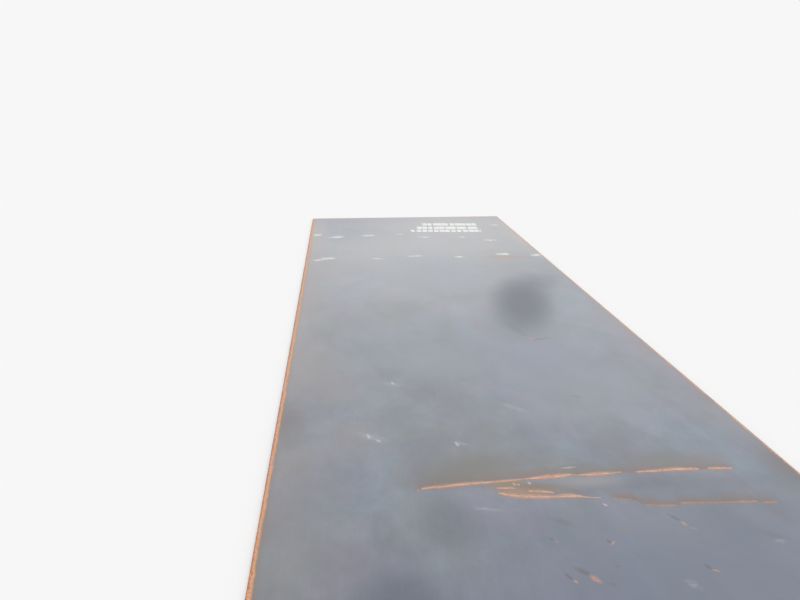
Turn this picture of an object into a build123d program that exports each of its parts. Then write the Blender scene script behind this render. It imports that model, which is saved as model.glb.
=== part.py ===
"""Hot-rolled steel plate: one flat rectangular piece, with as-rolled long edges and sheared ends.

The plate lies flat. X runs across its width, Y along its length, which is the direction it was rolled in,
and Z up through its thickness. The origin is on the underside, at the middle of the plate.
All sizes are in millimetres and all angles in degrees.
"""

import os
from math import radians, tan

from build123d import *

# Overall sizes: a trade plate of 6 ft by 20 ft
plate_width = 1829
plate_length = 6096
plate_thickness = 12

# Long edges, as the rolls left them: rounded at top and bottom, with an upright land between
mill_edge_radius = 3.5

# Ends, as the shear left them: a pulled-down top arris, a burnished upright band and a leaning break below it
roll_over_length = 2.0
roll_over_drop = 0.8
burnished_height = 3.2
break_angle = 6

# Where the sheared outline turns, seen from the side
end = plate_length / 2
band_top = plate_thickness - roll_over_drop
band_bottom = band_top - burnished_height
topside_end = end - roll_over_length
underside_end = end - band_bottom * tan(radians(break_angle))

with BuildPart() as plate:
    # The rolled section runs the whole length, with both long edges rounded
    with BuildSketch(Plane.XZ) as rolled_section:
        Rectangle(plate_width, plate_thickness, align=(Align.CENTER, Align.MIN))
        fillet(rolled_section.vertices(), mill_edge_radius)
    extrude(amount=end, both=True)

    # The shears trim it: at each end the top dips to the arris, and below the upright band the break leans in
    with BuildSketch(Plane.YZ):
        with BuildLine():
            Polyline(
                (-underside_end, 0),
                (underside_end, 0),
                (end, band_bottom),
                (end, band_top),
                (topside_end, plate_thickness),
                (-topside_end, plate_thickness),
                (-end, band_top),
                (-end, band_bottom),
                close=True,
            )
        make_face()
    extrude(amount=plate_width / 2, both=True, mode=Mode.INTERSECT)

plate.part.label = "steel_plate"
os.makedirs("parts", exist_ok=True)
export_step(plate.part, "parts/steel_plate.step")
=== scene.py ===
"""Looks of the hot-rolled steel plate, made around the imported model.

Everything is in metres, in the model's own frame: X across the plate, Y along the way it was rolled,
and Z up from its underside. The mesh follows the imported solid's outline, with the edges finer and rougher.
"""

from math import atan2, cos, hypot, radians, sin, tan

import bmesh
import bpy
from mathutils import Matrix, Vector, noise


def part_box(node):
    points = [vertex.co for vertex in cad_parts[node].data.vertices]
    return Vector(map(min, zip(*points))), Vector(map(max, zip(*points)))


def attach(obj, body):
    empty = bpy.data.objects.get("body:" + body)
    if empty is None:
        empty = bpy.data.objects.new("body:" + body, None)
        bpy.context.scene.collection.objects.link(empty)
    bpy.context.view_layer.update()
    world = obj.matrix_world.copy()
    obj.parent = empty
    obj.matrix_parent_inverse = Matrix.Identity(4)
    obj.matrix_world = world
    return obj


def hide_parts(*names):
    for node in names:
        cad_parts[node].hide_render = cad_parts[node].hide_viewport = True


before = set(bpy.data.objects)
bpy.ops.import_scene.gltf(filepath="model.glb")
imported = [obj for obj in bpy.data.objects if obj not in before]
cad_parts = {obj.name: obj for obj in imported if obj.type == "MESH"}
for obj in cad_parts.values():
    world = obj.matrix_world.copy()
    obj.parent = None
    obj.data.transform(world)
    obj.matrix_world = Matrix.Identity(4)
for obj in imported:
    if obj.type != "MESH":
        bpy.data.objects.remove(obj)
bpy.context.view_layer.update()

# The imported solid's size, from the highest corner of its box
HALF_WIDTH, HALF_LENGTH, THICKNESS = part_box("steel_plate")[1]

# Its edges and ends, as they are in the solid
EDGE_RADIUS = 0.0035
ROLL_OVER_LENGTH = 0.002
ROLL_OVER_DROP = 0.0008
BURNISHED_HEIGHT = 0.0032
BREAK_ANGLE = radians(6)
BAND_TOP = THICKNESS - ROLL_OVER_DROP
BAND_BOTTOM = BAND_TOP - BURNISHED_HEIGHT

# How finely the mesh is cut
STATION_STEP = 0.010
END_MARGIN = 0.012
END_COLUMNS = 280
FILLET_ANGLES = (0, 15, 30, 50.5, 65, 78, 90)
LAND_HEIGHTS = (0.005, 0.0065, BAND_BOTTOM)
SHARP_ANGLE = radians(35)

# How far the mill edges stray inward from their ideal line: at most, and in the middle as a share of that
WAVE_DEPTH = 0.0009
WAVE_MIDDLE = 0.45

# Their slow and quick waves, as (waves in a metre, share of the depth, seed of each side, seed)
EDGE_WAVES = ((1.1, 0.60, 7.3, 0.4), (6.0, 0.35, 3.1, 2.9))

# Grain of the mill edges and of the sheared break, as (depth, rate along, rate up, smoothness, seed)
EDGE_GRAIN = (0.00028, 55.0, 420.0, 0.6, 5.0)
BREAK_GRAIN = (0.00045, 70.0, 260.0, 0.7, 4.0)
GRAIN_FINER_BY = 2.0
GRAIN_OCTAVES = 3

# How the lower edge of the burnished band wanders, as (height, waves in a metre, seed)
BAND_WANDER = (0.0008, 45.0, 9.0)

# The mesh's material slots. The top face wears two materials with the same ground, each with its own marks
TOP_NEAR, TOP_FAR, UNDERSIDE, MILL_EDGE, SHEARED_END = range(5)
TOP_SEAM = -1.1

# Camera, lights and surroundings. Angles are in degrees, the lens and its sensor in millimetres
CAMERA_PLACE = (-0.6449, -4.5718, 1.3085)
CAMERA_PITCH = 15.690
CAMERA_YAW = 4.423
LENS = 35.0
SENSOR = 36.0
NEAREST_SEEN = 0.05
FURTHEST_SEEN = 1000
SKY_SEEN = 0.93
SKY_LIGHT = 0.78
SUN_POWER = 0.85
SUN_ANGLE = 50
SUN_ELEVATION = 58
SUN_AZIMUTH = -35
FLOOR_SIZE = 400.0
FLOOR_COLOUR = (0.92, 0.92, 0.92)

# Colours of the surfaces
SCALE_GREY = (0.159, 0.183, 0.212)
SCALE_BLUE = (0.137, 0.179, 0.239)
SCALE_VIOLET = (0.169, 0.175, 0.231)
OLD_STEEL = (0.23, 0.225, 0.22)
RUST_DARK = (0.085, 0.048, 0.030)
RUST_BROWN = (0.27, 0.100, 0.045)
RUST_ORANGE = (0.55, 0.190, 0.065)
RUST_PALE = (0.68, 0.350, 0.185)
RUST_TAN = (0.50, 0.235, 0.115)
RUST_BLOOM = (0.76, 0.430, 0.250)
RUST_CREAM = (0.66, 0.490, 0.400)
RUST_CORE = (0.78, 0.490, 0.360)

# Colours of the marks and films that lie on them
CHALK = (0.80, 0.81, 0.81)
PAINT = (0.92, 0.92, 0.91)
DIRT = (0.070, 0.060, 0.056)
STREAK_SHADE = (0.160, 0.100, 0.078)
DARK_OVAL_COLOUR = (0.050, 0.066, 0.092)
OLIVE = (0.120, 0.114, 0.090)
BROWN = (0.190, 0.130, 0.095)
WASH = (0.320, 0.190, 0.095)
KHAKI = (0.200, 0.165, 0.070)
PINK = (0.270, 0.195, 0.185)
ROSE = (0.250, 0.165, 0.185)
# Pale dust, partly real and partly a painted brightening of the far part, for the reflection and haze seen
# at a low angle there
DUST_AND_GLARE = (0.440, 0.422, 0.430)
# Painted haze: a pale veil of painted light over the far part
PAINTED_HAZE = (0.390, 0.410, 0.415)
TAN = (0.240, 0.215, 0.200)
SAND = (0.440, 0.380, 0.330)
UMBER = (0.112, 0.080, 0.082)
PALE = (0.330, 0.300, 0.320)
MIST = (0.225, 0.265, 0.320)
SHADE = (0.080, 0.095, 0.120)
DEEP = (0.115, 0.140, 0.205)
BLUE = (0.165, 0.200, 0.285)

# How dull the surfaces are that aren't bare scale
DARK_OVAL_ROUGHNESS = 0.8
CHALK_ROUGHNESS = 0.75
PAINT_ROUGHNESS = 0.6
RUST_ROUGHNESS = 0.85
BREAK_ROUGHNESS = 0.88
BAND_ROUGHNESS = 0.55
DUSTY_SHEEN = 0.45
SHEEN_ROUGHNESS = 0.5
REFRACTION = 1.5

# Layers of noise in the mill scale, as (stretch or None, scale, detail, roughness, distortion)
SCALE_LAYERS = {
    "clouds": ((1.0, 0.7, 1.0), 2.1, 6.0, 0.60, 0.0),
    "hues": ((1.0, 0.6, 1.0), 1.9, 5.0, 0.58, 0.0),
    "rolled": ((30.0, 0.9, 1.0), 1.0, 3.0, 0.60, 0.0),
    "lines": ((260.0, 3.0, 1.0), 1.0, 2.0, 0.50, 0.0),
    "grain": (None, 420.0, 3.0, 0.60, 0.0),
    "flakes": ((1.0, 0.5, 1.0), 38.0, 4.0, 0.62, 0.0),
    "patches": ((1.0, 0.6, 1.0), 6.5, 4.0, 0.60, 0.6),
    "violets": ((1.0, 0.7, 1.0), 3.4, 4.0, 0.60, 0.0),
}

# Its tints over the grey, as (layer, colour, where the tint starts, where it is full, strength)
SCALE_TINTS = (
    ("hues", SCALE_BLUE, 0.36, 0.64, 1.0),
    ("violets", SCALE_VIOLET, 0.42, 0.62, 0.95),
)

# How its layers darken and lighten it, as (layer, low, high, factor at low, factor at high)
SCALE_SHADING = (
    ("clouds", 0.25, 0.75, 0.75, 1.25),
    ("patches", 0.25, 0.75, 0.83, 1.17),
    ("rolled", 0.25, 0.75, 0.975, 1.025),
    ("lines", 0.25, 0.75, 0.960, 1.040),
    ("flakes", 0.30, 0.70, 0.935, 1.065),
    ("grain", 0.25, 0.75, 0.890, 1.110),
)

# Its roughness from the flakes and what the rolling adds, as (low, high, at low, at high), and its relief
FLAKE_ROUGHNESS = (0.3, 0.7, 0.285, 0.330)
ROLLED_ROUGHNESS = (0.3, 0.7, 0.0, 0.03)
SCALE_RELIEF = (("flakes", 0.00004), ("grain", 0.000006), ("lines", 0.000006))

# Rust: the tones at which it is brown, orange and pale, its noise, and how fine that is in each place
RUST_TONES = (0.28, 0.50, 0.70)
RUST_NOISE = (4.0, 0.65)
EDGE_RUST = 140.0
MARK_RUST = 90.0
UNDERSIDE_RUST = 60.0
BREAK_RUST = 120.0
MARK_RUST_BLEACH = 0.30

# Rust that has crept in from the long edges, and a painted highlight along the sheared ends, as (how far in
# it ends, how far in it is full, strength)
LEFT_WARMTH, RIGHT_WARMTH = (0.042, 0.006, 0.60), (0.030, 0.004, 0.35)
LEFT_BLOOM, RIGHT_BLOOM, END_HIGHLIGHT = (0.0195, 0.0105, 1.0), (0.011, 0.005, 1.0), (0.024, 0.010, 0.75)
LEFT_ORANGE, RIGHT_ORANGE = (0.0105, 0.0045, 1.0), (0.004, 0.001, 1.0)

# Two layers of noise let its front stray, each this far, and the second also mixes its bloom
RIM_RAGGED, RIM_RAGGED_STRAY = ((1.0, 0.35, 1.0), 34.0, 3.0, 0.60), 0.020
RIM_SPECKLE, RIM_SPECKLE_STRAY = (None, 230.0, 4.0, 0.75), 0.016
BLOOM_TONES = (0.38, 0.62)

# It lies further in towards the far end, as (from y, to y, from, to), and by this share of it on the right
RIM_DEEPENING = (-2.4, 0.2, 0.0, 0.006)
RIGHT_DEEPENING = 0.5

# The underside: dimmer scale from another place, with clouds of rust
UNDERSIDE_SHIFT = (11.0, 5.0, 3.0)
UNDERSIDE_DIM = 0.82
UNDERSIDE_CLOUDS = ((1.0, 0.6, 1.0), 2.6, 6.0, 0.62)
UNDERSIDE_BLOOM = (0.54, 0.72, 0.0, 0.55)

# The mill edges: their layers, the coats over the rust, and how the bright rust turns brown lower down
EDGE_LAYERS = {
    "lines": ((60.0, 5.0, 620.0), 1.0, 4.0, 0.65),
    "blotches": ((1.0, 0.4, 1.0), 40.0, 4.0, 0.60),
    "grit": (None, 700.0, 3.0, 0.60),
}
EDGE_COATS = (
    ("lines", RUST_DARK, 0.46, 0.62, 0.75),
    ("lines", RUST_ORANGE, 0.42, 0.30, 0.60),
    ("blotches", OLD_STEEL, 0.60, 0.72, 0.50),
)
EDGE_BROWNING = (0.0105, 0.0070)
EDGE_BROWNING_STRAY = 0.006
EDGE_ROUGHNESS = (0.3, 0.7, 0.90, 0.72)
EDGE_LINE_RELIEF = 0.00022
EDGE_GRIT_RELIEF = 0.00008

# The sheared ends: their layers, the coats over the burnished steel, and the break's coarse grit
END_LAYERS = {
    "scratches": ((900.0, 1.0, 30.0), 1.0, 3.0, 0.60),
    "blotches": (None, 55.0, 4.0, 0.65),
    "grit": ((1.0, 1.0, 0.5), 620.0, 4.0, 0.70),
}
BAND_COATS = (
    ("scratches", RUST_BROWN, 0.40, 0.62, 1.0),
    ("blotches", RUST_ORANGE, 0.50, 0.64, 0.8),
)
BAND_BLUR = 0.0004
BAND_STRAY = 0.0016
GRIT_TONES = (0.38, 0.62)
BREAK_RELIEF = 0.00035
SCRATCH_RELIEF = 0.00006

# Soft films on the top face, as (colour, strength, x, y, radius x, radius y, turn in degrees)
FILMS = (
    # The dust films over the far part are partly painted brightening, and the haze film wholly, for
    # reflection and haze at a low angle
    (DUST_AND_GLARE, 0.64, 0.400, 2.600, 1.20, 1.70, 0),
    (DUST_AND_GLARE, 0.32, 0.080, 1.500, 1.45, 1.00, 0),
    (SAND, 0.45, -0.960, 2.100, 0.30, 1.40, 0),
    (SAND, 0.60, 0.960, 2.000, 0.24, 1.30, 0),
    (SAND, 0.30, -0.940, -0.600, 0.14, 1.00, 0),
    (PAINTED_HAZE, 0.40, -0.150, 1.100, 1.30, 2.20, 0),
    (PINK, 0.50, -0.920, 0.600, 0.30, 2.60, 0),
    (PINK, 0.50, 0.600, 1.250, 0.26, 0.26, 0),
    (ROSE, 0.44, 0.930, -1.150, 0.18, 1.50, 0),
    (BLUE, 0.60, 0.280, -1.100, 0.60, 0.95, 0),
    (BLUE, 0.40, 0.000, 0.900, 0.50, 0.75, 0),
    (DEEP, 0.76, 0.320, -2.800, 0.95, 0.62, 0),
    (TAN, 0.45, -0.860, -2.550, 0.36, 0.75, 0),
    (TAN, 0.50, -0.850, -1.150, 0.40, 0.60, 0),
    (SHADE, 0.62, 0.920, -2.300, 0.23, 0.28, 0),
    (UMBER, 0.75, 0.940, -2.190, 0.16, 0.24, 0),
    (SHADE, 0.45, 0.420, -2.300, 0.50, 0.10, 0),
    (OLIVE, 0.80, -0.190, -2.140, 0.38, 0.17, 6),
    (OLIVE, 0.60, 0.500, -2.140, 0.34, 0.11, 2),
    (BROWN, 0.85, -0.030, -2.300, 0.20, 0.07, -8),
    (WASH, 0.75, -0.065, -2.318, 0.15, 0.060, -6),
    (WASH, 0.45, -0.100, -2.280, 0.09, 0.045, 0),
    (KHAKI, 0.65, -0.100, -2.262, 0.12, 0.045, 5),
    (OLIVE, 0.75, -0.290, -2.225, 0.22, 0.075, 6),
    (PALE, 0.50, 0.180, -2.268, 0.17, 0.065, 2),
    (BROWN, 0.60, -0.020, -2.190, 0.30, 0.035, 4),
    (UMBER, 0.75, -0.900, -1.700, 0.19, 0.30, 0),
    (TAN, 0.40, -0.640, -1.460, 0.14, 0.20, 0),
    (MIST, 0.45, -0.210, -1.050, 0.24, 0.38, 0),
    (MIST, 0.45, 0.160, -1.700, 0.22, 0.22, 0),
    (MIST, 0.25, 0.450, -1.350, 0.30, 0.45, 0),
    (MIST, 0.32, 0.060, 0.500, 0.45, 0.50, 0),
    (MIST, 0.30, 0.800, -0.400, 0.20, 0.50, 0),
    (TAN, 0.35, -0.640, -1.880, 0.24, 0.30, 0),
    (PINK, 0.30, -0.860, -2.030, 0.16, 0.24, 0),
    (OLIVE, 0.28, -0.110, -1.880, 0.14, 0.20, 0),
    (OLIVE, 0.22, -0.320, -0.100, 0.26, 0.40, 0),
    (SHADE, 0.16, 0.560, 0.420, 0.16, 0.32, 0),
    (BROWN, 0.25, 0.130, -0.550, 0.10, 0.26, 0),
    (KHAKI, 0.55, 0.192, -2.560, 0.034, 0.009, 32),
)

# Films whose radii are both larger than this stray a little, by (how finely, how far)
LARGE_FILM = 0.12
FILM_DRIFT = (3.0, 0.10)

# Dark, dull ovals, as (strength, x, y, radius x, radius y, turn in degrees)
DARK_OVALS = (
    (0.78, 0.450, -0.075, 0.265, 0.900, -13),
    (0.20, 0.710, 0.430, 0.150, 0.320, -13),
    (0.32, -0.345, -2.490, 0.150, 0.200, 0),
    (0.45, -0.495, -2.830, 0.165, 0.175, 0),
)
DARK_OVAL_CORE = 0.15

# Rust streaks across the plate, each a line of points that may stop and start again where it has no width,
# as (strength, strength of the brown shade behind it, points of (x, y, half width))
STREAKS = (
    (0.84, 0.88, (
        (-0.415, -2.290, 0.0000), (-0.409, -2.287, 0.0027), (-0.400, -2.281, 0.0000),
        (-0.391, -2.275, 0.0048), (-0.333, -2.267, 0.0061), (-0.251, -2.256, 0.0068),
        (-0.162, -2.250, 0.0050), (-0.078, -2.242, 0.0044), (-0.050, -2.239, 0.0024),
        (-0.022, -2.236, 0.0038), (0.032, -2.229, 0.0082), (0.085, -2.225, 0.0088),
        (0.122, -2.218, 0.0041), (0.140, -2.226, 0.0020), (0.183, -2.224, 0.0061),
        (0.226, -2.221, 0.0082), (0.262, -2.220, 0.0052), (0.302, -2.216, 0.0020),
        (0.310, -2.215, 0.0000), (0.350, -2.217, 0.0000), (0.360, -2.218, 0.0036),
        (0.421, -2.215, 0.0058), (0.503, -2.208, 0.0078), (0.570, -2.213, 0.0054),
        (0.585, -2.214, 0.0000), (0.605, -2.213, 0.0000), (0.620, -2.213, 0.0042),
        (0.649, -2.214, 0.0062), (0.691, -2.217, 0.0034), (0.705, -2.217, 0.0000),
    )),
    (0.82, 0.30, (
        (-0.150, -2.322, 0.0000), (-0.143, -2.324, 0.0041), (-0.113, -2.339, 0.0078),
        (-0.050, -2.353, 0.0084), (0.015, -2.359, 0.0056), (0.106, -2.362, 0.0050),
        (0.125, -2.369, 0.0030), (0.142, -2.373, 0.0020), (0.176, -2.380, 0.0017),
        (0.182, -2.381, 0.0000),
    )),
    (0.25, 0.90, (
        (0.211, -2.386, 0.0000), (0.217, -2.387, 0.0036), (0.265, -2.394, 0.0024),
        (0.284, -2.398, 0.0000), (0.300, -2.428, 0.0000), (0.308, -2.433, 0.0040),
        (0.362, -2.439, 0.0060), (0.406, -2.442, 0.0030), (0.412, -2.442, 0.0000),
        (0.414, -2.428, 0.0000), (0.422, -2.429, 0.0050), (0.492, -2.433, 0.0045),
        (0.566, -2.437, 0.0030), (0.630, -2.437, 0.0055), (0.668, -2.437, 0.0032),
        (0.676, -2.438, 0.0000), (0.682, -2.447, 0.0000), (0.690, -2.447, 0.0052),
        (0.727, -2.448, 0.0052), (0.735, -2.448, 0.0000),
    )),
    (0.75, 0.30, (
        (-0.150, -2.292, 0.0000), (-0.144, -2.292, 0.0034), (-0.095, -2.294, 0.0044),
        (-0.078, -2.300, 0.0000), (-0.052, -2.318, 0.0000), (-0.040, -2.319, 0.0044),
        (-0.005, -2.323, 0.0054), (0.028, -2.331, 0.0034), (0.040, -2.342, 0.0000),
        (0.060, -2.350, 0.0030), (0.090, -2.356, 0.0075), (0.112, -2.362, 0.0050),
        (0.125, -2.366, 0.0000),
    )),
)

# The streaks' sides fray by (how finely, how far)
STREAK_FRAY = (110.0, 0.005)

# Patches of noise widen and narrow them, by half widths, as (low, high, at low, at high)
STREAK_PATCHES = ((1.0, 2.0, 1.0), 45.0, 6.0, 0.75)
STREAK_WIDENING = (0.30, 0.70, -0.95, 0.50)

# They end and are full this many half widths from their line
STREAK_FADE = (3.0, 0.4)

# Half widths: from the first one on a streak shows, and nothing is divided by less than the second
SHOWN_HALF_WIDTH = 0.0012
LEAST_HALF_WIDTH = 0.0003

# Their pale core lies nearer by this many half widths, and is slimmer
CORE_NEARER = 0.35
CORE_FADE = (0.8, 0.1)

# The brown shade begins in front of a streak, reaches behind it as far as a slow noise says,
# as (low, high, at low, at high), and fades at both ends
SHADE_DRIFT = ((1.0, 0.4, 0.0), 17.0, 3.0, 0.60)
SHADE_REACH = (0.35, 0.65, 0.062, 0.100)
SHADE_FULL = -0.010
SHADE_FRONT = -0.012
SHADE_PAST_END = 0.02
SHADE_WITHIN_END = 0.03

# Rust spots, small ones and a long faint one at the far end, as (start x, start y, end x, end y, half width)
SPOTS = (
    (0.376, -2.536, 0.384, -2.556, 0.0070),
    (0.120, -2.642, 0.136, -2.622, 0.0042),
    (-0.033, -2.612, -0.030, -2.618, 0.0032),
    (0.018, -2.784, 0.030, -2.806, 0.011),
    (-0.035, -2.797, -0.030, -2.808, 0.0050),
    (0.360, -2.781, 0.373, -2.787, 0.0052),
    (0.322, -0.755, 0.346, -0.775, 0.013),
    (0.450, 1.197, 0.750, 1.175, 0.018),
    (0.600, 1.186, 0.690, 1.180, 0.024),
)

# Dark tails that lead away from the spots, as the spots are given
TAILS = (
    (0.373, -2.530, 0.356, -2.496, 0.008),
    (0.117, -2.616, 0.124, -2.628, 0.0042),
    (0.014, -2.778, -0.010, -2.748, 0.011),
    (-0.038, -2.794, -0.052, -2.768, 0.006),
    (0.358, -2.776, 0.348, -2.756, 0.006),
    (-0.040, -2.605, -0.048, -2.598, 0.005),
    (0.352, -0.788, 0.428, -0.764, 0.012),
)

# Faint dark smudges and dots, as the spots are given
SMUDGES = (
    (0.590, -2.615, 0.645, -2.645, 0.020),
    (0.000, -2.500, 0.030, -2.525, 0.024),
    (0.320, -1.540, 0.356, -1.560, 0.016),
    (0.275, -0.520, 0.330, -0.760, 0.030),
    (0.110, -2.165, 0.190, -2.160, 0.028),
    (-0.100, -2.278, 0.060, -2.300, 0.030),
    (0.090, -2.320, 0.120, -2.345, 0.020),
    (0.100, -2.742, 0.106, -2.745, 0.007),
    (0.438, -2.670, 0.440, -2.674, 0.005),
    (0.058, -2.820, 0.064, -2.826, 0.009),
)

# Faint pale smears of the near part, as the spots are given
SMEARS = (
    (0.010, -1.597, 0.095, -1.690, 0.022),
    (0.270, -2.826, 0.284, -2.850, 0.016),
    (-0.245, -2.405, -0.165, -2.430, 0.012),
    (0.606, -2.660, 0.634, -2.662, 0.009),
    (0.392, -2.572, 0.398, -2.580, 0.009),
    (-0.580, -1.850, -0.505, -1.905, 0.030),
    (-0.470, -1.330, -0.410, -1.360, 0.024),
    (-0.240, -1.945, -0.195, -1.965, 0.018),
)

# Chalky specks of the near part and scuffs of the far part, as the spots are given
SPECKS = (
    (-0.430, -1.328, -0.424, -1.348, 0.007),
    (-0.559, -1.856, -0.552, -1.884, 0.0070),
    (-0.526, -1.900, -0.516, -1.915, 0.0055),
    (-0.233, -1.944, -0.229, -1.970, 0.0050),
    (0.175, -2.418, 0.177, -2.428, 0.0042),
    (-0.084, -2.266, -0.084, -2.276, 0.0045),
    (-0.071, -2.272, -0.071, -2.277, 0.0040),
    (-0.032, -2.262, -0.032, -2.273, 0.0045),
    (0.112, -2.172, 0.148, -2.168, 0.005),
)
SCUFFS = (
    (-0.885, 2.170, -0.840, 2.205, 0.044),
    (-0.700, 2.075, -0.660, 2.090, 0.048),
    (-0.425, 2.120, -0.380, 2.135, 0.048),
    (-0.125, 2.175, -0.105, 2.180, 0.030),
    (0.050, 2.030, 0.110, 2.020, 0.027),
    (0.380, 2.000, 0.425, 2.000, 0.019),
    (0.590, 1.855, 0.665, 1.845, 0.028),
    (0.780, 2.560, 0.820, 2.555, 0.032),
    (-0.770, 1.225, -0.725, 1.240, 0.044),
    (-0.850, 1.180, -0.800, 1.195, 0.019),
    (-0.410, 1.225, -0.345, 1.185, 0.018),
    (-0.115, 1.270, -0.040, 1.275, 0.027),
    (0.235, 1.235, 0.285, 1.215, 0.024),
    (0.590, 1.290, 0.635, 1.295, 0.046),
    (0.850, 1.235, 0.885, 1.240, 0.038),
)

# How the marks fade, as (where they end, where they are full, strength), with 1 on the rim of a mark
SPOT_FADE = (1.3, 0.2, 0.62)
TAIL_FADE = (1.5, 0.2, 0.56)
SMUDGE_FADE = (1.2, 0.1, 0.30)
SMEAR_FADE = (1.2, 0.2)
SPECK_FADE = (1.7, 0.2, 0.42)
SCUFF_FADE = (1.3, 0.2)

# How their outlines stray, by (how finely, how far)
MARK_STRAY = (70.0, 0.014)
SMEAR_STRAY = 0.030
SCUFF_STRAY = (26.0, 0.100)

# The noise that breaks up smears and scuffs, and how, as (low, high, strength at low, strength at high)
BREAKS = (None, 46.0, 4.0, 0.70)
SMEAR_BREAKS = (0.36, 0.60, 0.03, 0.14)
SCUFF_BREAKS = (0.38, 0.52, 0.15, 1.0)

# Rows of plain worn paint dashes near the far end, as (start x, start y, end x, end y, half height)
PAINT_ROWS = (
    (0.121, 2.641, 0.628, 2.602, 0.060),
    (0.057, 2.469, 0.617, 2.425, 0.060),
    (-0.013, 2.324, 0.618, 2.276, 0.052),
)

# Each pitch along a row has a dash of between these shares of it
DASH_PITCH = 0.052
DASH_LENGTHS = (0.66, 1.05)
ROW_SEED = 10.0

# The paint frays, and wears off in a noise's low places, as the smears are broken up
PAINT_FRAY = (150.0, 0.008)
PAINT_WEAR = (None, 34.0, 4.0, 0.70)
PAINT_WORN = (0.32, 0.50, 0.15, 0.97)

# Sockets of the Mix node, as (below, above, result)
NUMBER_SOCKETS = (2, 3, 0)
COLOUR_SOCKETS = (6, 7, 2)
OPAQUE = 1.0

# Noise lies around this, tangles have this detail and roughness, and a place times FLAT has no height
NOISE_MIDDLE = 0.5
TANGLE_NOISE = (3.0, 0.6)
FLAT = (1.0, 1.0, 0.0)


class Graph:
    """A node tree of a material or group, filled with one call for each node."""

    def __init__(self, tree):
        self.nodes = tree.nodes
        self.links = tree.links

    def put(self, value, socket):
        if isinstance(value, bpy.types.NodeSocket):
            self.links.new(value, socket)
        else:
            socket.default_value = value

    def node(self, kind, **settings):
        made = self.nodes.new(kind)
        for name, value in settings.items():
            setattr(made, name, value)
        return made

    def filled(self, kind, values, **settings):
        """A node with these values in its first sockets."""
        made = self.node(kind, **settings)
        for value, socket in zip(values, made.inputs):
            self.put(value, socket)
        return made

    def math(self, operation, *values, clamp=False):
        return self.filled("ShaderNodeMath", values, operation=operation, use_clamp=clamp).outputs[0]

    def vector(self, operation, *values):
        made = self.filled("ShaderNodeVectorMath", values, operation=operation)
        return made.outputs["Value" if operation == "LENGTH" else "Vector"]

    def scaled(self, vector, factor):
        made = self.filled("ShaderNodeVectorMath", [vector], operation="SCALE")
        self.put(factor, made.inputs["Scale"])
        return made.outputs["Vector"]

    def stretched(self, place, factors):
        return self.vector("MULTIPLY", place, factors)

    def parts(self, place):
        """The x, y and z of a place."""
        return self.filled("ShaderNodeSeparateXYZ", [place]).outputs

    def steps(self, *values):
        """A smooth step of a value between low and high, from 0 to 1 or from two more numbers."""
        return self.filled("ShaderNodeMapRange", values, interpolation_type="SMOOTHSTEP").outputs[0]

    def ramp(self, *values):
        """A straight, clamped ramp of a value, given as for steps."""
        return self.filled("ShaderNodeMapRange", values, interpolation_type="LINEAR").outputs[0]

    def fade(self, value, end, full, strength=1.0):
        """0 where the value is at end or beyond, and smoothly up to strength where it is full."""
        return self.steps(value, end, full, 0.0, strength)

    def swing(self, value, width, around=0.0):
        """A noise that runs around something, with this width from its least to its most."""
        return self.math("MULTIPLY_ADD", self.math("SUBTRACT", value, NOISE_MIDDLE), width, around)

    def noise(self, place, scale, detail, roughness, distortion=0.0, output="Fac"):
        made = self.node("ShaderNodeTexNoise")
        self.put(place, made.inputs["Vector"])
        self.put(scale, made.inputs["Scale"])
        self.put(detail, made.inputs["Detail"])
        self.put(roughness, made.inputs["Roughness"])
        self.put(distortion, made.inputs["Distortion"])
        return made.outputs[output]

    def layer(self, place, stretch, *settings):
        """Noise of (stretch or None, scale, detail, roughness), where a large stretch makes it fine."""
        return self.noise(self.stretched(place, stretch) if stretch else place, *settings)

    def layers(self, place, table):
        return {name: self.layer(place, *settings) for name, settings in table.items()}

    def tangle(self, place, fineness):
        """A noise colour, to move places about with."""
        return self.noise(place, fineness, *TANGLE_NOISE, output="Color")

    def local(self, place, origin, sizes, turn):
        """The place seen from origin, turned by turn and measured in sizes."""
        made = self.node("ShaderNodeMapping", vector_type="TEXTURE")
        self.put(place, made.inputs["Vector"])
        self.put((*origin, 0.0), made.inputs["Location"])
        self.put((0.0, 0.0, turn), made.inputs["Rotation"])
        self.put((*sizes, 1.0), made.inputs["Scale"])
        return made.outputs[0]

    def oval_reach(self, place, middle, radii, turn):
        """0 in the middle of an oval and 1 on its rim."""
        return self.vector("LENGTH", self.local(place, middle, radii, turn))

    def curve(self, value, points):
        """A result that follows value through these points of (value, result), straight in between."""
        lowest, highest = points[0][0], points[-1][0]
        results = [result for _, result in points]
        least, most = min(results), max(results)
        made = self.node("ShaderNodeFloatCurve")
        line = made.mapping.curves[0]
        placed = [((v - lowest) / (highest - lowest), (r - least) / (most - least)) for v, r in points]
        for inner in placed[1:-1]:
            line.points.new(*inner)
        line.points[0].location = placed[0]
        line.points[-1].location = placed[-1]
        for point in line.points:
            point.handle_type = "VECTOR"
        made.mapping.update()
        self.put(self.ramp(value, lowest, highest), made.inputs["Value"])
        return self.math("MULTIPLY_ADD", made.outputs[0], most - least, least)

    def mixed(self, kind, factor, below, above, sockets):
        made = self.node("ShaderNodeMix", data_type=kind)
        below_socket, above_socket, result_socket = sockets
        self.put(factor, made.inputs[0])
        self.put(below, made.inputs[below_socket])
        self.put(above, made.inputs[above_socket])
        return made.outputs[result_socket]

    def mix(self, factor, below, above):
        """Between two colours."""
        ends = [(*end, OPAQUE) if isinstance(end, tuple) else end for end in (below, above)]
        return self.mixed("RGBA", factor, *ends, COLOUR_SOCKETS)

    def blend(self, factor, below, above):
        """Between two plain numbers."""
        return self.mixed("FLOAT", factor, below, above, NUMBER_SOCKETS)

    def largest(self, below, above):
        """The larger of two masks, or the only one where the first is None."""
        return above if below is None else self.math("MAXIMUM", below, above)


# The plate's mesh


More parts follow.
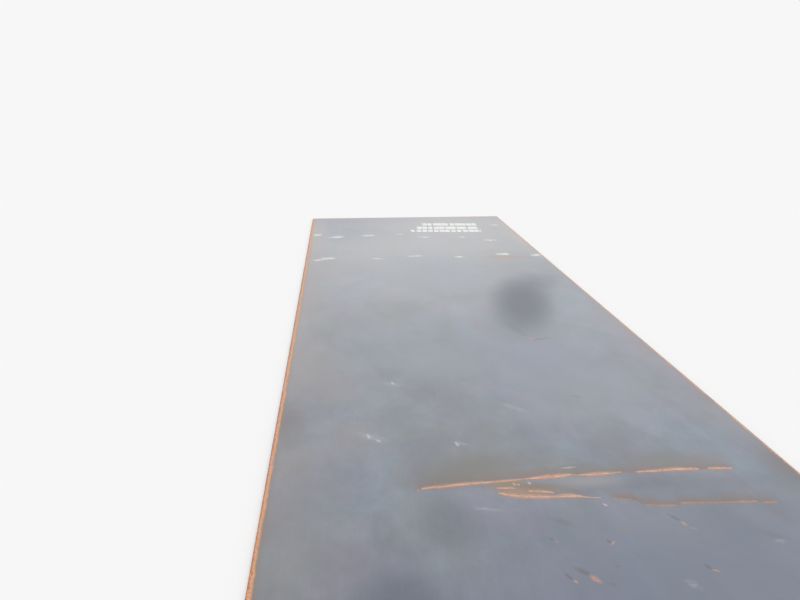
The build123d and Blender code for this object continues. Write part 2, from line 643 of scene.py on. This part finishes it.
def section_points():
    """One side of the rolled section, from the bottom flat's end up to the top flat's end, as (x, z)."""
    rounded = [radians(angle) for angle in FILLET_ANGLES]
    centre = HALF_WIDTH - EDGE_RADIUS
    upper_start = THICKNESS - EDGE_RADIUS
    lower = [(centre + EDGE_RADIUS * sin(a), EDGE_RADIUS - EDGE_RADIUS * cos(a)) for a in rounded]
    land = [(HALF_WIDTH, z) for z in LAND_HEIGHTS]
    upper = [(centre + EDGE_RADIUS * cos(a), upper_start + EDGE_RADIUS * sin(a)) for a in rounded]
    return lower + land + upper


def end_reach(z):
    """How far the sheared end reaches along the length at height z."""
    if z < BAND_BOTTOM:
        return HALF_LENGTH - (BAND_BOTTOM - z) * tan(BREAK_ANGLE)
    if z > BAND_TOP:
        return HALF_LENGTH - ROLL_OVER_LENGTH * (z - BAND_TOP) / ROLL_OVER_DROP
    return HALF_LENGTH


def limited(value):
    """The value, kept between 0 and 1."""
    return min(max(value, 0.0), 1.0)


def edge_wave(side, y):
    """How far the mill edge stands back from the ideal line at y."""
    level = WAVE_MIDDLE
    for rate, share, side_seed, seed in EDGE_WAVES:
        level += share * noise.noise(Vector((y * rate, side * side_seed, seed)))
    return WAVE_DEPTH * limited(level)


def grain_depth(grain, side, along, up):
    """How deep a grain's dents are at this place of one side or end, from 0 to the grain's whole depth."""
    depth, rate_along, rate_up, smoothness, seed = grain
    place = Vector((along * rate_along, up * rate_up, side * seed))
    dents = noise.fractal(place, smoothness, GRAIN_FINER_BY, GRAIN_OCTAVES)
    return depth * limited(NOISE_MIDDLE + dents)


def ring(bm, profile, places):
    """The vertices of one section, the right side's and the left's, each from bottom to top.

    Each point of the profile has its own place along the length. The flats' ends have no dents.
    """
    sides = []
    dented = range(1, len(profile) - 1)
    for side in (1, -1):
        made = []
        for index, ((x, z), y) in enumerate(zip(profile, places)):
            dent = grain_depth(EDGE_GRAIN, side, y, z) if index in dented else 0.0
            made.append(bm.verts.new((side * (x - edge_wave(side, y) - dent), y, z)))
        sides.append(made)
    return sides


def all_rings(bm, profile):
    """Sections from the near end to the far one. The first and the last follow the sheared outline."""
    end_places = [end_reach(z) for _, z in profile]
    inner = HALF_LENGTH - END_MARGIN
    count = round(2 * inner / STATION_STEP)
    rings = [ring(bm, profile, [-y for y in end_places])]
    for i in range(count + 1):
        rings.append(ring(bm, profile, [-inner + 2 * inner * i / count] * len(profile)))
    rings.append(ring(bm, profile, end_places))
    return rings


def add_face(bm, corners, slot, smooth):
    face = bm.faces.new(corners)
    face.material_index = slot
    face.smooth = smooth


def top_slot(y):
    return TOP_NEAR if y < TOP_SEAM else TOP_FAR


def add_mill_edges(bm, rings):
    for here, there in zip(rings, rings[1:]):
        for a, b in zip(here, there):
            for k in range(len(a) - 1):
                add_face(bm, (a[k], a[k + 1], b[k + 1], b[k]), MILL_EDGE, True)


def add_flats(bm, rings):
    """The top and the underside between all the stations, without the strips beside the sheared ends."""
    for here, there in zip(rings[1:-2], rings[2:-1]):
        (a, b), (c, d) = here, there
        add_face(bm, (a[-1], b[-1], d[-1], c[-1]), top_slot(c[-1].co.y), False)
        add_face(bm, (a[0], b[0], d[0], c[0]), UNDERSIDE, False)


def end_point(x, z, direction):
    """The sheared surface at x, as (y, z): rough below the burnished band, whose lower edge wanders."""
    reach = end_reach(z)
    if 0 < z < BAND_BOTTOM:
        reach -= grain_depth(BREAK_GRAIN, direction, x, z)
    if z == BAND_BOTTOM:
        height, rate, seed = BAND_WANDER
        z += height * noise.noise(Vector((x * rate, direction * seed, 0.0)))
    return direction * reach, z


def end_rows(bm, end_ring, heights, direction):
    """The sheared end's grid, one row of vertices for each height, from the right side to the left."""
    rows = []
    for z, right, left in zip(heights, *end_ring):
        row = [right]
        for column in range(1, END_COLUMNS):
            share = column / END_COLUMNS
            x = right.co.x * (1 - share) + left.co.x * share
            row.append(bm.verts.new((x, *end_point(x, z, direction))))
        row.append(left)
        rows.append(row)
    return rows


def add_end(bm, end_ring, last_ring, heights, direction):
    """One sheared end, and the strips of top and underside up to the last station."""
    rows = end_rows(bm, end_ring, heights, direction)
    for low, high in zip(rows, rows[1:]):
        for j in range(END_COLUMNS):
            add_face(bm, (low[j], low[j + 1], high[j + 1], high[j]), SHEARED_END, True)
    right, left = last_ring
    add_face(bm, [*rows[-1], left[-1], right[-1]], top_slot(right[-1].co.y), False)
    add_face(bm, [*rows[0], left[0], right[0]], UNDERSIDE, False)


def plate_mesh():
    """The plate as one closed mesh: long mill edges cut into stations, and each sheared end a fine grid."""
    profile = section_points()
    heights = [z for _, z in profile]
    bm = bmesh.new()
    rings = all_rings(bm, profile)
    add_mill_edges(bm, rings)
    add_flats(bm, rings)
    add_end(bm, rings[0], rings[1], heights, -1)
    add_end(bm, rings[-1], rings[-2], heights, 1)

    bmesh.ops.recalc_face_normals(bm, faces=bm.faces)
    for edge in bm.edges:
        edge.smooth = edge.calc_face_angle(0.0) < SHARP_ANGLE
    mesh = bpy.data.meshes.new("plate_surface")
    bm.to_mesh(mesh)
    bm.free()
    return mesh


# Materials


def new_group(name, inputs, outputs):
    """An empty group with these sockets, its graph, and its input and output nodes' sockets."""
    tree = bpy.data.node_groups.new(name, "ShaderNodeTree")
    for label, kind in inputs:
        tree.interface.new_socket(label, in_out="INPUT", socket_type=kind)
    for label, kind in outputs:
        tree.interface.new_socket(label, in_out="OUTPUT", socket_type=kind)
    graph = Graph(tree)
    return tree, graph, graph.node("NodeGroupInput").outputs, graph.node("NodeGroupOutput").inputs


def new_material(name):
    """An empty material with its graph, its shader and the plate's own coordinates."""
    material = bpy.data.materials.new(name)
    material.use_nodes = True
    material.node_tree.nodes.clear()
    g = Graph(material.node_tree)
    shader = g.node("ShaderNodeBsdfPrincipled")
    output = g.node("ShaderNodeOutputMaterial")
    g.put(shader.outputs[0], output.inputs["Surface"])
    place = g.node("ShaderNodeTexCoord").outputs["Object"]
    shader.inputs["IOR"].default_value = REFRACTION
    return material, g, shader, place


def give_surface(g, shader, colour, roughness, height):
    """Links a surface to its shader. The height is in metres, so the bump takes it as it is."""
    bump = g.node("ShaderNodeBump")
    bump.inputs["Distance"].default_value = 1.0
    bump.inputs["Strength"].default_value = 1.0
    g.put(height, bump.inputs["Height"])
    g.put(colour, shader.inputs["Base Color"])
    g.put(roughness, shader.inputs["Roughness"])
    g.put(bump.outputs[0], shader.inputs["Normal"])


def coated(g, layers, colour, coats):
    """The colour under coats of (layer, colour, where the coat starts, where it is full, strength)."""
    for name, coat, start, full, strength in coats:
        colour = g.mix(g.fade(layers[name], start, full, strength), colour, coat)
    return colour


def make_scale_group():
    """Blue-grey mill scale: its colour, roughness and height at a place on the plate."""
    tree, g, given, result = new_group(
        "mill_scale",
        [("Place", "NodeSocketVector")],
        [("Colour", "NodeSocketColor"), ("Roughness", "NodeSocketFloat"), ("Height", "NodeSocketFloat")],
    )
    layers = g.layers(given["Place"], SCALE_LAYERS)
    colour = coated(g, layers, SCALE_GREY, SCALE_TINTS)
    shade = None
    for name, *limits in SCALE_SHADING:
        factor = g.ramp(layers[name], *limits)
        shade = factor if shade is None else g.math("MULTIPLY", shade, factor)
    g.put(g.scaled(colour, shade), result["Colour"])

    rough = g.ramp(layers["flakes"], *FLAKE_ROUGHNESS)
    g.put(g.math("ADD", rough, g.ramp(layers["rolled"], *ROLLED_ROUGHNESS)), result["Roughness"])
    height = 0.0
    for name, depth in SCALE_RELIEF:
        height = g.swing(layers[name], depth, height)
    g.put(height, result["Height"])
    return tree


def scale_surface(g, place, scale_group):
    """Colour, roughness and height of the mill scale at a place."""
    made = g.filled("ShaderNodeGroup", [place], node_tree=scale_group)
    return (made.outputs[name] for name in ("Colour", "Roughness", "Height"))


def rust_colour(g, place, fineness):
    """Orange rust, from brown to a pale bloom, varied by noise."""
    brown_at, orange_at, pale_at = RUST_TONES
    tone = g.noise(place, fineness, *RUST_NOISE)
    colour = g.mix(g.steps(tone, brown_at, orange_at), RUST_BROWN, RUST_ORANGE)
    return g.mix(g.steps(tone, orange_at, pale_at), colour, RUST_PALE)


def shifted_by(g, place, tangle, distance):
    """The place moved about by a noise colour, by half of distance at most, and laid flat."""
    aside = g.scaled(g.vector("SUBTRACT", tangle, (NOISE_MIDDLE,) * 3), distance)
    return g.stretched(g.vector("ADD", place, aside), FLAT)


def strayed(g, place, fineness, distance):
    """The place moved about by noise of this fineness."""
    return shifted_by(g, place, g.tangle(place, fineness), distance)


def soft_oval(g, place, oval, core=0.0):
    """1 in the core of a soft oval of (x, y, radius x, radius y, turn in degrees), 0 outside it."""
    x, y, radius_x, radius_y, turn = oval
    return g.fade(g.oval_reach(place, (x, y), (radius_x, radius_y), radians(turn)), 1.0, core)


def ovals_between(ovals, low, high):
    """The ovals that lie on the stretch from low to high, each with what its table gives before it."""
    for *given, x, y, radius_x, radius_y, turn in ovals:
        if y + radius_y >= low and y - radius_y <= high:
            yield *given, (x, y, radius_x, radius_y, turn)


def marks_between(marks, low, high):
    """The marks whose start lies on the stretch from low to high."""
    return [mark for mark in marks if low < mark[1] < high]


def nearest_mark(g, place, marks):
    """How far the place is from the nearest of these slim marks, given as the spots are.

    It is 0 on a mark's middle and 1 on the oval that has its half width and reaches both its ends.
    """
    nearest = None
    for x0, y0, x1, y1, half_width in marks:
        middle = ((x0 + x1) / 2, (y0 + y1) / 2)
        half_length = hypot(x1 - x0, y1 - y0) / 2 + half_width
        here = g.oval_reach(place, middle, (half_length, half_width), atan2(y1 - y0, x1 - x0))
        nearest = here if nearest is None else g.math("MINIMUM", nearest, here)
    return nearest


def add_films(g, plan, colour, roughness, low, high):
    """The soft films, some of them painted brightening, and the dark, dull ovals that reach this stretch of
    the plate.
    """
    drifted = strayed(g, plan, *FILM_DRIFT)
    for film, strength, oval in ovals_between(FILMS, low, high):
        _, _, radius_x, radius_y, _ = oval
        large = min(radius_x, radius_y) > LARGE_FILM
        mask = soft_oval(g, drifted if large else plan, oval)
        colour = g.mix(g.math("MULTIPLY", mask, strength), colour, film)
    for strength, oval in ovals_between(DARK_OVALS, low, high):
        mask = g.math("MULTIPLY", soft_oval(g, plan, oval, DARK_OVAL_CORE), strength)
        colour = g.mix(mask, colour, DARK_OVAL_COLOUR)
        roughness = g.blend(mask, roughness, DARK_OVAL_ROUGHNESS)
    return colour, roughness


def add_dirt(g, ragged, colour, smudges, tails):
    """The dark smudges, and the tails of the spots."""
    dirt = g.fade(nearest_mark(g, ragged, smudges), *SMUDGE_FADE)
    dirt = g.largest(dirt, g.fade(nearest_mark(g, ragged, tails), *TAIL_FADE))
    return g.mix(dirt, colour, DIRT)


def scuff_mask(g, plan, scuffs):
    """The scuffs, scattered far and broken up."""
    broken = g.layer(plan, *BREAKS)
    chalk = g.fade(nearest_mark(g, strayed(g, plan, *SCUFF_STRAY), scuffs), *SCUFF_FADE)
    return g.math("MULTIPLY", chalk, g.steps(broken, *SCUFF_BREAKS))


def speck_mask(g, plan, tangle, ragged, specks, smears):
    """The specks, and the smears that stray further."""
    broken = g.layer(plan, *BREAKS)
    chalk = g.fade(nearest_mark(g, ragged, specks), *SPECK_FADE)
    smear = g.fade(nearest_mark(g, shifted_by(g, plan, tangle, SMEAR_STRAY), smears), *SMEAR_FADE)
    smear = g.math("MULTIPLY", smear, g.steps(broken, *SMEAR_BREAKS))
    return g.largest(chalk, smear)


def paint_mask(g, plan, rows):
    """1 on the rows of plain painted dashes, which differ in length and are worn."""
    ragged = strayed(g, plan, *PAINT_FRAY)
    mask = None
    for seed, (x0, y0, x1, y1, half_height) in enumerate(rows):
        along, off, _ = g.parts(g.local(ragged, (x0, y0), (1.0, 1.0), atan2(y1 - y0, x1 - x0)))
        cells = g.math("DIVIDE", along, DASH_PITCH)
        draw = g.node("ShaderNodeTexWhiteNoise", noise_dimensions="1D")
        g.put(g.math("ADD", g.math("FLOOR", cells), ROW_SEED * seed), draw.inputs["W"])
        dash_length = g.ramp(draw.outputs["Value"], 0.0, 1.0, *DASH_LENGTHS)
        dash = g.math("LESS_THAN", g.math("FRACT", cells), dash_length)
        middle = hypot(x1 - x0, y1 - y0) / 2
        in_row = g.math("LESS_THAN", g.math("ABSOLUTE", g.math("SUBTRACT", along, middle)), middle)
        in_row = g.math("MULTIPLY", in_row, g.math("LESS_THAN", g.math("ABSOLUTE", off), half_height))
        mask = g.largest(mask, g.math("MULTIPLY", dash, in_row))
    return g.math("MULTIPLY", mask, g.steps(g.layer(plan, *PAINT_WEAR), *PAINT_WORN))


def streak_masks(g, place, widening, drift, streaks):
    """The streaks' rust, its pale core on the near side, and the brown shade that fades away behind them."""
    x, y, _ = g.parts(place)
    rust, core, shade = None, None, None
    shade_reach = g.ramp(drift, *SHADE_REACH)
    for strength, shading, points in streaks:
        line = g.curve(x, [(px, py) for px, py, _ in points])
        half_width = g.curve(x, [(px, half) for px, _, half in points])
        off = g.math("SUBTRACT", y, line)
        share = g.math("DIVIDE", off, g.math("MAXIMUM", half_width, LEAST_HALF_WIDTH))
        drawn = g.math("MULTIPLY", g.math("GREATER_THAN", half_width, SHOWN_HALF_WIDTH), strength)
        reach = g.math("SUBTRACT", g.math("ABSOLUTE", share), widening)
        rust = g.largest(rust, g.math("MULTIPLY", g.fade(reach, *STREAK_FADE), drawn))
        core_reach = g.math("SUBTRACT", g.math("ABSOLUTE", g.math("ADD", share, CORE_NEARER)), widening)
        core = g.largest(core, g.math("MULTIPLY", g.fade(core_reach, *CORE_FADE), drawn))
        behind = g.math("MULTIPLY", g.fade(off, shade_reach, SHADE_FULL), g.fade(off, SHADE_FRONT, 0.0))
        first, last = points[0][0], points[-1][0]
        started = g.fade(x, first - SHADE_PAST_END, first + SHADE_WITHIN_END, shading)
        going_on = g.fade(x, last + SHADE_PAST_END, last - SHADE_WITHIN_END)
        shade = g.largest(shade, g.math("MULTIPLY", behind, g.math("MULTIPLY", started, going_on)))
    return rust, core, shade


def add_rust(g, place, plan, ragged, colour, roughness, spots, streaks):
    """The spots and the streaks, bleached by the weather."""
    rust = g.fade(nearest_mark(g, ragged, spots), *SPOT_FADE)
    core = 0.0
    if streaks:
        patches = g.layer(place, *STREAK_PATCHES)
        frayed = strayed(g, plan, *STREAK_FRAY)
        drift = g.layer(place, *SHADE_DRIFT)
        widening = g.ramp(patches, *STREAK_WIDENING)
        streaked, core, shade = streak_masks(g, frayed, widening, drift, streaks)
        colour = g.mix(shade, colour, STREAK_SHADE)
        rust = g.largest(rust, streaked)
    bleached = g.mix(MARK_RUST_BLEACH, rust_colour(g, place, MARK_RUST), RUST_CREAM)
    colour = g.mix(rust, colour, bleached)
    colour = g.mix(core, colour, RUST_CORE)
    return colour, g.blend(rust, roughness, RUST_ROUGHNESS)


def add_rims(g, place, colour, roughness):
    """Rust that creeps in from the long edges, and a painted highlight, a pale line in rust colours, along
    the sheared ends.
    """
    x, y, _ = g.parts(place)
    stray = g.swing(g.layer(place, *RIM_RAGGED), RIM_RAGGED_STRAY)
    speckle = g.layer(place, *RIM_SPECKLE)
    stray = g.swing(speckle, RIM_SPECKLE_STRAY, stray)
    deeper = g.steps(y, *RIM_DEEPENING)
    from_left = g.math("ADD", x, HALF_WIDTH)
    from_right = g.math("SUBTRACT", HALF_WIDTH, x)
    from_end = g.math("SUBTRACT", HALF_LENGTH, g.math("ABSOLUTE", y))
    left = g.math("ADD", from_left, g.math("SUBTRACT", stray, deeper))
    right = g.math("SUBTRACT", from_right, g.math("MULTIPLY_ADD", deeper, RIGHT_DEEPENING, stray))
    ends = g.math("SUBTRACT", from_end, stray)

    warm = g.largest(g.fade(left, *LEFT_WARMTH), g.fade(right, *RIGHT_WARMTH))
    colour = g.mix(warm, colour, BROWN)
    pale = g.largest(g.fade(left, *LEFT_BLOOM), g.fade(right, *RIGHT_BLOOM))
    # Along the sheared ends the pale line is a painted highlight, where their rolled-over lip catches the
    # light
    pale = g.largest(pale, g.fade(ends, *END_HIGHLIGHT))
    colour = g.mix(pale, colour, g.mix(g.steps(speckle, *BLOOM_TONES), RUST_TAN, RUST_BLOOM))
    orange = g.largest(g.fade(left, *LEFT_ORANGE), g.fade(right, *RIGHT_ORANGE))
    colour = g.mix(orange, colour, rust_colour(g, place, EDGE_RUST))
    return colour, g.blend(pale, roughness, RUST_ROUGHNESS)


def top_material(name, low, high, scale_group):
    """The top face between two places along its length: mill scale with all the marks that lie there."""

    def here(marks):
        return marks_between(marks, low, high)

    material, g, shader, place = new_material(name)
    shader.inputs["Sheen Weight"].default_value = DUSTY_SHEEN
    shader.inputs["Sheen Roughness"].default_value = SHEEN_ROUGHNESS
    colour, roughness, height = scale_surface(g, place, scale_group)
    plan = g.stretched(place, FLAT)
    colour, roughness = add_films(g, plan, colour, roughness, low, high)

    # Ragged outlines come from looking the marks up a little aside
    fineness, distance = MARK_STRAY
    tangle = g.tangle(plan, fineness)
    ragged = shifted_by(g, plan, tangle, distance)
    colour = add_dirt(g, ragged, colour, here(SMUDGES), here(TAILS))
    if here(SCUFFS):
        chalk = scuff_mask(g, plan, here(SCUFFS))
    else:
        chalk = speck_mask(g, plan, tangle, ragged, here(SPECKS), here(SMEARS))
    colour = g.mix(chalk, colour, CHALK)
    roughness = g.blend(chalk, roughness, CHALK_ROUGHNESS)
    if here(PAINT_ROWS):
        paint = paint_mask(g, plan, here(PAINT_ROWS))
        colour = g.mix(paint, colour, PAINT)
        roughness = g.blend(paint, roughness, PAINT_ROUGHNESS)

    streaks = [streak for streak in STREAKS if marks_between(streak[2], low, high)]
    colour, roughness = add_rust(g, place, plan, ragged, colour, roughness, here(SPOTS), streaks)
    colour, roughness = add_rims(g, place, colour, roughness)
    give_surface(g, shader, colour, roughness, height)
    return material


def underside_material(scale_group):
    """The underside: darker mill scale with clouds of rust."""
    material, g, shader, place = new_material("underside")
    elsewhere = g.vector("ADD", place, UNDERSIDE_SHIFT)
    colour, roughness, height = scale_surface(g, elsewhere, scale_group)
    colour = g.scaled(colour, UNDERSIDE_DIM)
    bloom = g.steps(g.layer(place, *UNDERSIDE_CLOUDS), *UNDERSIDE_BLOOM)
    colour = g.mix(bloom, colour, rust_colour(g, place, UNDERSIDE_RUST))
    roughness = g.blend(bloom, roughness, RUST_ROUGHNESS)
    colour, roughness = add_rims(g, place, colour, roughness)
    give_surface(g, shader, colour, roughness, height)
    return material


def mill_edge_material():
    """The long edges as rolled: bright rust on the upper arris, browner below, in lines along the length."""
    material, g, shader, place = new_material("mill_edge")
    _, _, z = g.parts(place)
    layers = g.layers(place, EDGE_LAYERS)
    browning = g.steps(g.swing(layers["blotches"], EDGE_BROWNING_STRAY, z), *EDGE_BROWNING)
    colour = g.mix(browning, rust_colour(g, place, EDGE_RUST), RUST_BROWN)
    colour = coated(g, layers, colour, EDGE_COATS)
    height = g.math("MULTIPLY", layers["lines"], EDGE_LINE_RELIEF)
    height = g.math("MULTIPLY_ADD", layers["grit"], EDGE_GRIT_RELIEF, height)
    give_surface(g, shader, colour, g.ramp(layers["lines"], *EDGE_ROUGHNESS), height)
    return material


def sheared_end_material():
    """The sheared ends: a burnished band with upright scratches over a coarse, rusty break."""
    material, g, shader, place = new_material("sheared_end")
    _, _, z = g.parts(place)
    layers = g.layers(place, END_LAYERS)
    height_here = g.swing(layers["blotches"], BAND_STRAY, z)
    in_band = g.steps(height_here, BAND_BOTTOM - BAND_BLUR, BAND_BOTTOM + BAND_BLUR)
    burnished = coated(g, layers, OLD_STEEL, BAND_COATS)
    coarse = g.mix(g.steps(layers["grit"], *GRIT_TONES), RUST_DARK, rust_colour(g, place, BREAK_RUST))
    colour = g.mix(in_band, coarse, burnished)
    roughness = g.blend(in_band, BREAK_ROUGHNESS, BAND_ROUGHNESS)
    rough_height = g.math("MULTIPLY", layers["grit"], BREAK_RELIEF)
    height = g.blend(in_band, rough_height, g.math("MULTIPLY", layers["scratches"], SCRATCH_RELIEF))
    give_surface(g, shader, colour, roughness, height)
    return material


def make_plate():
    scale_group = make_scale_group()
    mesh = plate_mesh()
    for material in (
        top_material("rolled_top_near", -HALF_LENGTH, TOP_SEAM, scale_group),
        top_material("rolled_top_far", TOP_SEAM, HALF_LENGTH, scale_group),
        underside_material(scale_group),
        mill_edge_material(),
        sheared_end_material(),
    ):
        mesh.materials.append(material)
    plate = bpy.data.objects.new("plate", mesh)
    bpy.context.scene.collection.objects.link(plate)
    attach(plate, "root")
    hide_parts("steel_plate")


# The studio


def make_floor():
    half = FLOOR_SIZE / 2
    corners = [(-half, -half, 0), (half, -half, 0), (half, half, 0), (-half, half, 0)]
    mesh = bpy.data.meshes.new("floor")
    mesh.from_pydata(corners, [], [(0, 1, 2, 3)])
    floor = bpy.data.objects.new("floor", mesh)
    bpy.context.scene.collection.objects.link(floor)
    material, _, shader, _ = new_material("floor")
    shader.inputs["Base Color"].default_value = (*FLOOR_COLOUR, OPAQUE)
    shader.inputs["Roughness"].default_value = 1.0
    shader.inputs["Specular IOR Level"].default_value = 0.0
    mesh.materials.append(material)


def make_sky():
    """An even white surround: a little brighter where it is seen or reflected than where it only lights."""
    world = bpy.data.worlds.new("studio")
    bpy.context.scene.world = world
    world.use_nodes = True
    world.node_tree.nodes.clear()
    g = Graph(world.node_tree)
    path = g.node("ShaderNodeLightPath").outputs
    seen = g.math("ADD", path["Is Camera Ray"], path["Is Glossy Ray"])
    seen = g.math("ADD", seen, path["Is Transmission Ray"], clamp=True)
    background = g.node("ShaderNodeBackground")
    background.inputs["Color"].default_value = (1.0, 1.0, 1.0, OPAQUE)
    g.put(g.blend(seen, SKY_LIGHT, SKY_SEEN), background.inputs["Strength"])
    g.put(background.outputs[0], g.node("ShaderNodeOutputWorld").inputs["Surface"])


def make_sun():
    light = bpy.data.lights.new("soft_key", "SUN")
    light.energy = SUN_POWER
    light.angle = radians(SUN_ANGLE)
    sun = bpy.data.objects.new("soft_key", light)
    sun.rotation_euler = (radians(90 - SUN_ELEVATION), 0, radians(SUN_AZIMUTH))
    bpy.context.scene.collection.objects.link(sun)


def make_camera():
    camera = bpy.data.objects.new("camera", bpy.data.cameras.new("camera"))
    camera.data.lens = LENS
    camera.data.sensor_fit = "HORIZONTAL"
    camera.data.sensor_width = SENSOR
    camera.data.clip_start = NEAREST_SEEN
    camera.data.clip_end = FURTHEST_SEEN
    camera.location = CAMERA_PLACE
    camera.rotation_euler = (radians(90 - CAMERA_PITCH), 0, radians(-CAMERA_YAW))
    bpy.context.scene.collection.objects.link(camera)
    bpy.context.scene.camera = camera


bpy.context.scene.view_settings.view_transform = "Standard"
make_plate()
make_floor()
make_sky()
make_sun()
make_camera()
